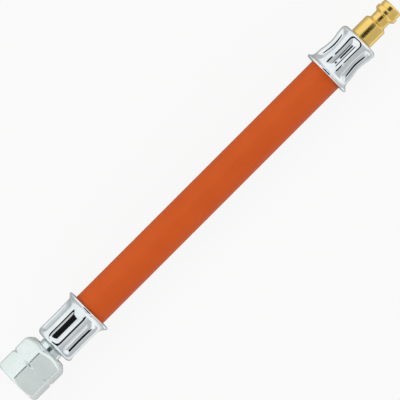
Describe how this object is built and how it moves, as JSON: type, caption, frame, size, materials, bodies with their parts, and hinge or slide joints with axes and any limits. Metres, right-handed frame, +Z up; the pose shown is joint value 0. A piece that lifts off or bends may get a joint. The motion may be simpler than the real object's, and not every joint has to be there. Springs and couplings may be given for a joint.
{
  "type": "flexible gas hose",
  "caption": "Short rubber gas hose with crimped ferrules, a spinning union nut on one end and a brass quick-coupling plug nipple on the other.",
  "frame": {"origin": "under the middle of the overall length, on the surface that the two flared ferrule mouths rest on", "axes": "+X along the hose, from the union nut to the plug nipple, and +Z up"},
  "size_m": [0.189, 0.0196, 0.0184],
  "materials": {
    "satin_zinc": "satin zinc plating on turned steel",
    "bright_plate": "bright plating on pressed steel",
    "orange_rubber": "smooth matt rubber",
    "turned_brass": "bright turned brass"
  },
  "bodies": {
    "hose_body": {"hose": "orange_rubber", "hose_stem": "satin_zinc", "crimp_ferrule_nut_end": "bright_plate", "crimp_ferrule_nipple_end": "bright_plate", "plug_nipple": "turned_brass"},
    "nut": {"union_nut": "satin_zinc"}
  },
  "joints": [
    {"name": "nut_spin", "type": "hinge", "parent": "hose_body", "child": "nut", "pos_m": [-0.0863, 0, 0.00909], "axis": [1, 0, 0], "continuous": true}
  ]
}
